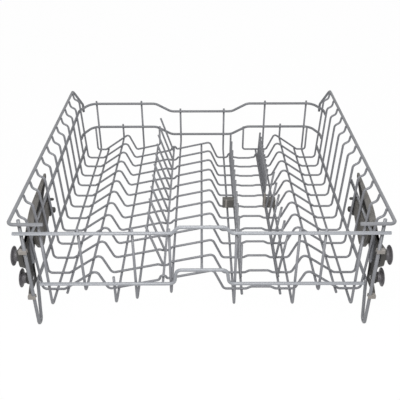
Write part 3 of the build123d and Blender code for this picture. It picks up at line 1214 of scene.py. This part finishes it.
class Moulding:
    """A mesh put together from closed shells and rounded at its edges."""

    edge_steps: int = 3
    edge_angle: float = 35.0

    def __init__(self, side: int = 1) -> None:
        """Start with nothing.

        Args:
            side: 1 for a moulding as drawn, -1 for its mirror image.
        """
        self.side = side
        self.paint = 0
        self.shells = bmesh.new()

    def ring(self, places: list[Point]) -> Ring:
        """Add points, given in millimetres."""
        return [self.shells.verts.new(Vector((self.side * x, y, z)) * MM) for x, y, z in places]

    def shell(self, faces: Faces, smooth: bool) -> None:
        """Finish a closed shell.

        Args:
            faces: Its faces.
            smooth: Whether it is shaded as one round surface.
        """
        for face in faces:
            face.smooth = smooth
            face.material_index = self.paint
        bmesh.ops.recalc_face_normals(self.shells, faces=faces)

    def bridge(self, first: Ring, second: Ring) -> Faces:
        """Join two rings, one of which may be a single point.

        Args:
            first: One ring.
            second: The other ring.

        Returns:
            The faces between them.
        """
        count = max(len(first), len(second))
        faces = []
        for n in range(count):
            m = (n + 1) % count
            corners = [first[n % len(first)], first[m % len(first)]]
            corners += [second[m % len(second)], second[n % len(second)]]
            faces.append(self.shells.faces.new(list(dict.fromkeys(corners))))
        return faces

    def prism(self, outline: list[Place], low: float, high: float, axis: int = 0) -> None:
        """Add an outline drawn out along an axis.

        Args:
            outline: Corners on the other two axes, in their order.
            low: Start along the axis.
            high: End along the axis.
            axis: 0 for X, 2 for Z.
        """
        rings = []
        for level in (low, high):
            places = [(level, a, b) if axis == 0 else (a, b, level) for a, b in outline]
            rings.append(self.ring(places))
        faces = [self.shells.faces.new(ring) for ring in rings]
        self.shell(faces + self.bridge(*rings), False)

    def tray(self, outline: list[Place], wall: float, depth: float, low: float, high: float) -> None:
        """Add a tray that opens towards the middle of the basket, lined with the next paint.

        Args:
            outline: Its corners as Y and Z.
            wall: Thickness of its wall.
            depth: Depth of its pocket.
            low: X of its open side.
            high: X of its closed side.
        """
        inner = inset(outline, wall)
        runs = [(high, outline), (low, outline), (low, inner), (low + depth, inner)]
        rings = [self.ring([(level, y, z) for y, z in places]) for level, places in runs]
        outside = [self.shells.faces.new(rings[0])]
        outside += self.bridge(rings[0], rings[1]) + self.bridge(rings[1], rings[2])
        # The lining takes the next paint, which on the wing is painted shade.
        shaded_faces = [self.shells.faces.new(rings[3])] + self.bridge(rings[2], rings[3])
        self.shell(outside + shaded_faces, False)
        for face in shaded_faces:
            face.material_index = self.paint + 1

    def lathe(self, profile: list[Place], middle: Place, sides: int = 64) -> None:
        """Add a turned shell about an axis along X.

        Args:
            profile: X and radius of each ring, closed on the axis at its ends.
            middle: Y and Z of the axis.
            sides: Faces round the axis.
        """
        y, z = middle
        rings = []
        for x, radius in profile:
            turns = [2 * math.pi * n / sides for n in range(sides if radius else 1)]
            places = [(x, y + radius * math.cos(turn), z + radius * math.sin(turn)) for turn in turns]
            rings.append(self.ring(places))
        faces = []
        for first, second in zip(rings, rings[1:]):
            faces += self.bridge(first, second)
        self.shell(faces, True)

    def taper(self, start: float, end: float, middle: float, share: float, axis: int = 1) -> None:
        """Narrow the moulding across, more and more along an axis.

        Args:
            start: Where along the axis it starts to narrow.
            end: Where it is narrowest.
            middle: X that stays in place.
            share: Part of the width that is gone at the end.
            axis: 1 for Y, 2 for Z.
        """
        middle_x = self.side * middle * MM
        for vert in self.shells.verts:
            run = (vert.co[axis] / MM - start) / (end - start)
            vert.co.x += (middle_x - vert.co.x) * share * min(max(run, 0.0), 1.0)

    def piece(self, name: str, edge: float, *finishes: Finish) -> bpy.types.Object:
        """Round the edges and make the piece.

        Args:
            name: Name of the piece.
            edge: Radius of its edges, 0 for none.
            finishes: Its finishes, by paint number.

        Returns:
            The piece, a plain mesh.
        """
        mesh = bpy.data.meshes.new(name)
        self.shells.to_mesh(mesh)
        self.shells.free()
        for finish in finishes:
            mesh.materials.append(finish.material())
        piece = new_piece(name, mesh)
        if edge:
            bevel = piece.modifiers.new("edges", "BEVEL")
            bevel.width = edge * MM
            bevel.segments = self.edge_steps
            bevel.limit_method = "ANGLE"
            bevel.angle_limit = math.radians(self.edge_angle)
            bevel.harden_normals = True
        return plain_mesh(piece)


def block(middle: Place, width: float, height: float) -> list[Place]:
    """Corners of a rectangle round a place."""
    (a, b), w, h = middle, width / 2, height / 2
    return [(a - w, b - h), (a + w, b - h), (a + w, b + h), (a - w, b + h)]


@dataclass
class GearPlanes:
    """Planes and places that the gear of a side shares, the places as station and drop."""

    layout: Layout
    frame_wires: FrameWires
    gap: float = 0.3
    carrier_depth: float = 6.4
    boss_height: float = 2.0
    clip_depth: float = 7.0
    roller_face: float = 272.0
    rollers: tuple[tuple[str, Place], ...] = (("upper", (24.0, 71.0)), ("lower", (36.0, 122.0)))
    pin_sides: int = 32

    def __post_init__(self) -> None:
        """Work out the planes."""
        lay = self.layout
        drop = self.frame_wires.front_upper_drop
        self.carrier_x = lay.side_x(drop, lay.frame_wire) + lay.frame_wire / 2 + self.gap
        self.carrier_face = self.carrier_x + self.carrier_depth
        self.boss_face = self.carrier_face + self.boss_height
        self.strand = lay.touching(lay.frame_wire, lay.frame_wire)

    def side_view(self, corners: dict[Place, float]) -> list[Place]:
        """Y and Z along an outline, given by its corners and their roundings."""
        return [self.layout.spot(place) for place in rounded(corners)]


@dataclass
class RollerCarrier:
    """Wing that carries the rollers of a side, with a channel, ribs and bosses."""

    planes: GearPlanes
    wall: float = 2.2
    pocket: float = 2.0
    edge: float = 0.5
    top: float = 52.0
    saddle: Place = (46.0, 60.0)
    shoulder: Place = (86.0, 37.0)
    tip: Place = (182.0, 24.0)
    tip_height: float = 7.0
    tip_x: float = 254.3
    tip_taper: float = 0.75
    taper_start: float = 141.0
    belly: Place = (126.0, 51.0)
    neck: Place = (70.0, 84.0)
    knee: Place = (52.0, 106.0)
    foot: Place = (50.0, 137.0)
    foot_narrows: Place = (116.0, 132.0)
    foot_taper: float = 0.72
    heel_height: float = 6.6
    arm: float = 30.0
    arm_top: float = 99.0
    arm_foot: float = 124.0
    rear_foot: float = 79.0
    corner_round: float = 3.0
    saddle_round: float = 12.0
    shoulder_round: float = 18.0
    belly_round: float = 14.0
    neck_round: float = 9.0
    foot_round: float = 4.0
    arm_round: float = 5.0
    flange_reach: float = 3.7
    flange_start: float = 0.65
    flange_end: float = 0.97
    flange_lift: float = 0.05
    channel_heel: Place = (65.0, 49.6)
    channel_belly: Place = (126.0, 47.6)
    channel_neck: Place = (80.0, 49.6)
    channel_belly_round: float = 10.0
    channel_neck_round: float = 4.0
    channel_wall: float = 2.4
    channel_pocket: float = 3.2
    channel_inset: float = 0.1
    channel_overlap: float = 0.2
    rib_count: int = 3
    first_rib: float = 1.5
    rib_size: float = 1.6
    rib_inset: float = 0.1
    boss_size: float = 19.0
    boss_inset: float = 0.3
    boss_chamfers: Place = (0.4, 0.6)

    @property
    def under_tip(self) -> Place:
        """Lower corner of the wing's tip."""
        return self.tip[0], self.tip[1] + self.tip_height

    def outline(self) -> list[Place]:
        """Side view of the whole carrier.

        Returns:
            Its outline as Y and Z.
        """
        planes = self.planes
        rear = planes.strand + planes.clip_depth / 2 + planes.layout.weld_gap
        foot_drop = self.foot[1]
        corners = {
            (rear, self.top): self.corner_round,
            self.saddle: self.saddle_round,
            self.shoulder: self.shoulder_round,
            self.tip: self.corner_round,
            self.under_tip: self.corner_round,
            self.belly: self.belly_round,
            self.neck: self.neck_round,
            self.knee: self.neck_round,
            self.foot: self.foot_round,
            (rear, foot_drop): self.corner_round,
            (rear, foot_drop - self.heel_height): self.corner_round,
            (self.arm, self.arm_foot): self.arm_round,
            (self.arm, self.arm_top): self.arm_round,
            (rear, self.rear_foot): self.arm_round,
        }
        return planes.side_view(corners)

    def flange(self) -> list[Place]:
        """Top edge of the wing, which reaches over the side wire.

        Returns:
            Its outline as Y and Z.
        """
        shoulder, tip = Vector(self.shoulder), Vector(self.tip)
        lift = Vector((0.0, -self.flange_lift))
        under = Vector((0.0, self.wall))
        start = Vector(self.saddle).lerp(shoulder, self.flange_start)
        end = shoulder.lerp(tip, self.flange_end)
        top = [(start, 0.0), (shoulder, self.shoulder_round), (end, 0.0)]
        corners = {tuple(place + lift): reach for place, reach in top}
        corners |= {tuple(place + under): reach for place, reach in reversed(top)}
        return self.planes.side_view(corners)

    def channel(self) -> list[Place]:
        """The wing's hollow part above the side wire.

        Returns:
            Its outline as Y and Z.
        """
        corners = {
            self.channel_heel: 0.0,
            self.shoulder: self.shoulder_round,
            self.tip: self.corner_round,
            self.under_tip: self.corner_round,
            self.channel_belly: self.channel_belly_round,
            self.channel_neck: self.channel_neck_round,
        }
        return self.planes.side_view(corners)

    def rib(self, number: int) -> list[Place]:
        """A rib across the wing, from its top edge to its lower one.

        Args:
            number: Which rib, from the rear.

        Returns:
            Its corners as Y and Z.
        """
        lay = self.planes.layout
        station = lay.cross_station(number + self.first_rib)
        lower = (self.neck, self.belly) if station < self.belly[0] else (self.belly, self.under_tip)
        drops = []
        for (near, near_drop), (far, far_drop) in ((self.shoulder, self.tip), lower):
            drops.append(near_drop + (far_drop - near_drop) * (station - near) / (far - near))
        height = drops[1] - drops[0] - self.wall
        return block(lay.spot((station, sum(drops) / 2)), self.rib_size, height)

    def mould(self, side: int) -> Moulding:
        """The wing of a side.

        Args:
            side: -1 for the left, 1 for the right.

        Returns:
            The moulding.
        """
        planes, lay = self.planes, self.planes.layout
        inside, face = planes.carrier_x, planes.carrier_face
        moulding = Moulding(side)
        # The wing's pocket is lined with painted shade.
        moulding.tray(self.outline(), self.wall, self.pocket, inside, face)
        start, end = (lay.spot((0.0, drop))[1] for drop in self.foot_narrows)
        moulding.taper(start, end, inside, self.foot_taper, axis=2)
        for number in range(self.rib_count):
            moulding.prism(self.rib(number), inside + self.rib_inset, face - self.wall)
        # Its top flange has painted light.
        moulding.paint = WING_FINISHES.index(PAINTED_LIGHT_FLANGE)
        edge = inside - self.flange_reach
        moulding.prism(self.flange(), edge, face + self.flange_lift)
        # The channel's pocket is lined with painted shade.
        start, end = edge + self.channel_inset, inside + self.channel_overlap
        moulding.tray(self.channel(), self.channel_wall, self.channel_pocket, start, end)
        # The bosses get painted shade.
        moulding.paint = WING_FINISHES.index(PAINTED_SHADE_PLASTIC)
        start, end = inside + self.boss_inset, planes.boss_face
        profile = rod(start, end, self.boss_size / 2, *self.boss_chamfers)
        for _, place in planes.rollers:
            moulding.lathe(profile, lay.spot(place))
        start, end = (lay.spot((station, 0.0))[0] for station in (self.taper_start, self.tip[0]))
        moulding.taper(start, end, self.tip_x, self.tip_taper)
        return moulding


@dataclass
class CarrierClamp:
    """Plate between a wall and its carrier, with a jaw and two pins that reach in past the wires."""

    planes: GearPlanes
    edge: float = 0.8
    top: float = 57.0
    # Each corner as station and drop, with its rounding.
    corners: tuple[tuple[Place, float], ...] = (
        ((62.0, 58.0), 6.0),
        ((150.5, top), 3.0),
        ((151.0, 78.0), 4.0),
        ((138.0, 86.0), 7.0),
        ((114.0, 97.0), 8.0),
        ((96.0, 105.0), 6.0),
        ((80.0, 100.0), 6.0),
        ((66.0, 80.0), 9.0),
    )
    jaw_reach: float = 0.6
    jaw_low: Place = (147.0, 88.0)
    jaw_high: Place = (162.5, 53.6)
    jaw_rounds: tuple[float, ...] = (6.0, 3.0, 3.0, 4.0)
    # Each pin's place and thickness.
    pins: tuple[tuple[Place, float], ...] = (((158.0, 59.7), 4.6), ((157.5, 80.0), 9.5))
    pin_root: float = 1.0
    pin_end: float = 239.5
    # Rings of a pin's nose, each as distance from the end and share of the radius.
    pin_nose: tuple[Place, ...] = ((1.8, 1.0), (0.7, 0.85), (0.15, 0.5), (0.0, 0.0))

    def mould(self, side: int) -> Moulding:
        """The clamp of a side.

        Args:
            side: -1 for the left, 1 for the right.

        Returns:
            The moulding.
        """
        planes, lay = self.planes, self.planes.layout
        inside = lay.wall_x(self.top) + lay.cross_wire / 2 + planes.gap
        moulding = Moulding(side)
        plate = planes.side_view(dict(self.corners))
        moulding.prism(plate, inside, planes.carrier_x - lay.weld_gap)
        # The jaw and both pins get painted shade.
        moulding.paint = CLAMP_FINISHES.index(PAINTED_SHADE_PLASTIC)
        (near, low), (far, high) = self.jaw_low, self.jaw_high
        corners = ((near, low), (near, high), (far, high), (far, low))
        jaw = planes.side_view(dict(zip(corners, self.jaw_rounds)))
        moulding.prism(jaw, inside - self.jaw_reach, planes.carrier_x - self.jaw_reach)
        start = inside + self.pin_root
        for place, size in self.pins:
            radius = size / 2
            profile = [(start, 0.0), (start, radius)]
            profile += [(self.pin_end + back, radius * share) for back, share in self.pin_nose]
            moulding.lathe(profile, lay.spot(place), planes.pin_sides)
        return moulding


@dataclass
class LegClips:
    """Two clips on the rear strand of a leg."""

    planes: GearPlanes
    edge: float = 0.45
    drops: tuple[float, ...] = (49.5, 132.0)
    height: float = 6.0
    lip_reach: float = 3.3
    bearing: float = 1.6
    mouth: float = 3.6
    steps: int = 8

    def shape(self) -> list[Place]:
        """Top view of a clip, open towards the middle of the basket.

        Returns:
            Its outline as X and the distance in front of the strand.
        """
        planes, lay = self.planes, self.planes.layout
        x = lay.side_x(planes.frame_wires.leg_wire_drop, lay.frame_wire)
        inner, outer = x - self.lip_reach, planes.carrier_x + self.bearing
        half, lip = planes.clip_depth / 2, self.mouth / 2
        bore = lay.frame_wire / 2
        start = math.pi - math.asin(lip / bore)
        turns = [start * (1 - n / self.steps) for n in range(2 * self.steps + 1)]
        arc = [(x + bore * math.cos(turn), bore * math.sin(turn)) for turn in turns]
        back = [(inner, -half), (outer, -half), (outer, half), (inner, half)]
        return back + [(inner, lip), *arc, (inner, -lip)]

    def mould(self, side: int) -> Moulding:
        """The clips of a side.

        Args:
            side: -1 for the left, 1 for the right.

        Returns:
            The moulding.
        """
        moulding = Moulding(side)
        for drop in self.drops:
            y, z = self.planes.layout.spot((self.planes.strand, drop))
            outline = [(x, ahead + y) for x, ahead in self.shape()]
            moulding.prism(outline, z - self.height / 2, z + self.height / 2, axis=2)
        return moulding


@dataclass
class Rollers:
    """Mushroom rollers of a side, each with a thin domed flange on a waist, and their axles."""

    planes: GearPlanes
    gap: float = 0.4
    chamfer: float = 0.7
    sides: int = 72
    # Rings from the waist to the face, each as distance behind the face and radius.
    profile: tuple[Place, ...] = (
        (6.4, 8.0), (5.2, 8.5), (4.2, 9.8), (3.5, 11.8), (3.1, 13.5), (2.75, 14.3), (2.3, 14.5),
        (1.9, 14.35), (1.35, 13.4), (0.8, 11.4), (0.35, 8.6), (0.08, 5.4), (0.0, 4.3), (0.5, 3.8),
        (0.6, 0.0),
    )
    axle_size: float = 6.0
    axle_end: float = 3.8
    axle_chamfer: float = 0.5

    def axles(self, side: int) -> Moulding:
        """The two axles of a side.

        Args:
            side: -1 for the left, 1 for the right.

        Returns:
            The moulding.
        """
        planes = self.planes
        end = planes.roller_face - self.axle_end
        profile = rod(planes.carrier_x, end, self.axle_size / 2, self.axle_chamfer, self.axle_chamfer)
        moulding = Moulding(side)
        for _, place in planes.rollers:
            moulding.lathe(profile, planes.layout.spot(place), planes.pin_sides)
        return moulding

    def roller(self, side: int, place: Place) -> Moulding:
        """One roller.

        Args:
            side: -1 for the left, 1 for the right.
            place: Station and drop of its axle.

        Returns:
            The moulding.
        """
        planes = self.planes
        start = planes.boss_face + self.gap
        waist = self.profile[0][1]
        profile = [(start, 0.0), (start, waist - self.chamfer), (start + self.chamfer, waist)]
        profile += [(planes.roller_face - back, radius) for back, radius in self.profile]
        moulding = Moulding(side)
        moulding.lathe(profile, planes.layout.spot(place), self.sides)
        return moulding


@dataclass
class RollerGear:
    """Carriers, clamps, clips, axles and rollers of both sides."""

    planes: GearPlanes

    def build(self) -> None:
        """Mould and dress the gear of both sides."""
        carrier, clamp = RollerCarrier(self.planes), CarrierClamp(self.planes)
        clips, rollers = LegClips(self.planes), Rollers(self.planes)
        for name, side in SIDES.items():
            work = (
                ("roller_carrier", carrier.mould(side), carrier.edge, WING_FINISHES),
                ("carrier_clamp", clamp.mould(side), clamp.edge, CLAMP_FINISHES),
                ("leg_clips", clips.mould(side), clips.edge, (CLIP_PLASTIC,)),
                ("roller_axles", rollers.axles(side), 0.0, (AXLE_STEEL,)),
            )
            for kind, moulding, edge, finishes in work:
                node = f"{name}_{kind}"
                settle(moulding.piece(f"moulded_{node}", edge, *finishes), BASKET, node)
            for which, place in self.planes.rollers:
                node = f"{name}_{which}_roller"
                piece = rollers.roller(side, place).piece(f"turned_{node}", 0.0, ROLLER_PLASTIC)
                settle(piece, node, node)


@dataclass
class TineHolders:
    """Blocks on one cross wire in which the tine rails turn, each with a pale snap strip."""

    layout: Layout
    height: float = 17.0
    depth: float = 12.0
    edge: float = 0.7
    lip: float = 5.5
    middle_reach: float = 22.0
    right_reach: float = 17.0
    strip_width: float = 3.6
    strip_depth: float = 2.4
    strip_proud: float = 0.4
    strip_reach: float = 15.5
    tongue_reach: float = 3.3
    tongue_rise: float = 14.0

    def build(self) -> None:
        """Mould and dress both holders."""
        lay = self.layout
        y, bottom = lay.spot((lay.cross_station(lay.holder_number), lay.floor_drop))
        top = bottom + self.height
        strip_y = y - (self.depth - self.strip_depth) / 2 - self.strip_proud
        middle = (-self.middle_reach, self.lip, -self.strip_reach, self.strip_proud)
        right = (-self.lip, self.right_reach, -self.tongue_reach, self.tongue_rise)
        holders = (("middle", lay.middle_row, middle), ("right", lay.right_row, right))
        for name, row, (low, high, strip, rise) in holders:
            moulding = Moulding()
            shape = block((row + (low + high) / 2, y), high - low, self.depth)
            moulding.prism(shape, bottom, top, axis=2)
            moulding.paint = HOLDER_FINISHES.index(CLIP_PLASTIC)
            shape = block((row + strip, strip_y), self.strip_width, self.strip_depth)
            moulding.prism(shape, bottom + self.strip_proud, top + rise, axis=2)
            node = f"tine_holder_{name}"
            piece = moulding.piece(f"moulded_{node}", self.edge, *HOLDER_FINISHES)
            settle(piece, BASKET, node)


@dataclass(frozen=True)
class Lamp:
    """A soft square lamp, with its place and width in metres and its power in watts."""

    name: str
    place: Point
    power: float
    size: float


@dataclass
class Studio:
    """Floor, light and camera."""

    camera_place: Point = (0.0, -0.8896, 0.6335)
    pitch: float = 32.4
    lens: float = 52.25
    sensor: float = 36.0
    shift: Place = (-0.004, 0.0002)
    roll: float = -0.14
    floor_half: float = 6.0
    floor_tone: float = 0.86
    white_share: float = 0.98
    surround: float = 0.45
    aim: Point = (0.0, 0.0, 0.08)
    lamps: tuple[Lamp, ...] = (
        Lamp("key_light", (-0.05, -0.62, 0.82), power=9.8, size=0.6),
        Lamp("fill_light", (0.9, 0.7, 1.4), power=5.0, size=1.4),
    )

    def floor(self) -> None:
        """Lay a plain pale floor that keeps a soft shadow."""
        half = self.floor_half
        mesh = bpy.data.meshes.new("studio_floor")
        corners = [(-half, -half, 0), (half, -half, 0), (half, half, 0), (-half, half, 0)]
        mesh.from_pydata(corners, [], [(0, 1, 2, 3)])
        material = bpy.data.materials.new("studio_floor")
        material.use_nodes = True
        nodes = material.node_tree.nodes
        links = material.node_tree.links
        nodes.clear()
        matt = nodes.new("ShaderNodeBsdfDiffuse")
        matt.inputs["Color"].default_value = (*[self.floor_tone] * 3, 1)
        white = nodes.new("ShaderNodeEmission")
        seen = self.seen_rays(nodes, links)
        share = nodes.new("ShaderNodeMath")
        share.operation = "MULTIPLY"
        share.inputs[1].default_value = self.white_share
        links.new(seen, share.inputs[0])
        blend = nodes.new("ShaderNodeMixShader")
        links.new(share.outputs[0], blend.inputs[0])
        links.new(matt.outputs[0], blend.inputs[1])
        links.new(white.outputs[0], blend.inputs[2])
        out = nodes.new("ShaderNodeOutputMaterial")
        links.new(blend.outputs[0], out.inputs["Surface"])
        mesh.materials.append(material)
        new_piece("studio_floor", mesh)

    @staticmethod
    def seen_rays(nodes: bpy.types.Nodes, links: bpy.types.NodeLinks) -> bpy.types.NodeSocket:
        """Rays that show the background itself.

        Args:
            nodes: Nodes of the material or world.
            links: Its links.

        Returns:
            Socket that is 1 for those rays.
        """
        path = nodes.new("ShaderNodeLightPath")
        total = path.outputs["Is Camera Ray"]
        for label in ("Is Glossy Ray", "Is Transmission Ray"):
            add = nodes.new("ShaderNodeMath")
            add.operation = "MAXIMUM"
            links.new(total, add.inputs[0])
            links.new(path.outputs[label], add.inputs[1])
            total = add.outputs[0]
        return total

    def world(self) -> None:
        """Set an even white surround."""
        world = bpy.data.worlds.new("studio")
        world.use_nodes = True
        nodes = world.node_tree.nodes
        links = world.node_tree.links
        seen = self.seen_rays(nodes, links)
        level = nodes.new("ShaderNodeMapRange")
        level.inputs["To Min"].default_value = self.surround
        level.inputs["To Max"].default_value = 1.0
        links.new(seen, level.inputs["Value"])
        background = nodes["Background"]
        background.inputs["Color"].default_value = (1, 1, 1, 1)
        links.new(level.outputs["Result"], background.inputs["Strength"])
        bpy.context.scene.world = world

    def hang(self, lamp: Lamp) -> None:
        """Hang a lamp that faces the basket.

        Args:
            lamp: The lamp.
        """
        data = bpy.data.lights.new(lamp.name, "AREA")
        data.energy = lamp.power
        data.size = lamp.size
        light = bpy.data.objects.new(lamp.name, data)
        light.location = lamp.place
        ahead = Vector(self.aim) - Vector(lamp.place)
        light.rotation_euler = ahead.to_track_quat("-Z", "Y").to_euler()
        bpy.context.scene.collection.objects.link(light)

    def camera(self) -> None:
        """Stand the camera behind and above the basket."""
        data = bpy.data.cameras.new("studio_camera")
        data.lens = self.lens
        data.sensor_width = self.sensor
        data.shift_x, data.shift_y = self.shift
        camera = bpy.data.objects.new("studio_camera", data)
        camera.location = self.camera_place
        tilt = Quaternion((1, 0, 0), math.radians(90 - self.pitch))
        turn = Quaternion((0, 0, 1), math.radians(self.roll))
        camera.rotation_euler = (tilt @ turn).to_euler()
        bpy.context.scene.collection.objects.link(camera)
        bpy.context.scene.camera = camera

    def build(self) -> None:
        """Set up the whole studio."""
        bpy.context.scene.view_settings.view_transform = "Standard"
        self.floor()
        self.world()
        for lamp in self.lamps:
            self.hang(lamp)
        self.camera()


def main() -> None:
    """Build every sub-assembly in order."""
    logging.basicConfig(level=logging.INFO, format="%(name)s %(message)s")
    layout = Layout()
    bender = WireBender()
    frame_wires = FrameWires(layout, bender)
    frame_wires.build()
    CrossWires(layout, bender).build()
    FloorWires(layout, bender, frame_wires).build()
    TineRows(layout, bender).build()
    TineHolders(layout).build()
    RollerGear(GearPlanes(layout, frame_wires)).build()
    Studio().build()


if __name__ == "__main__":
    main()
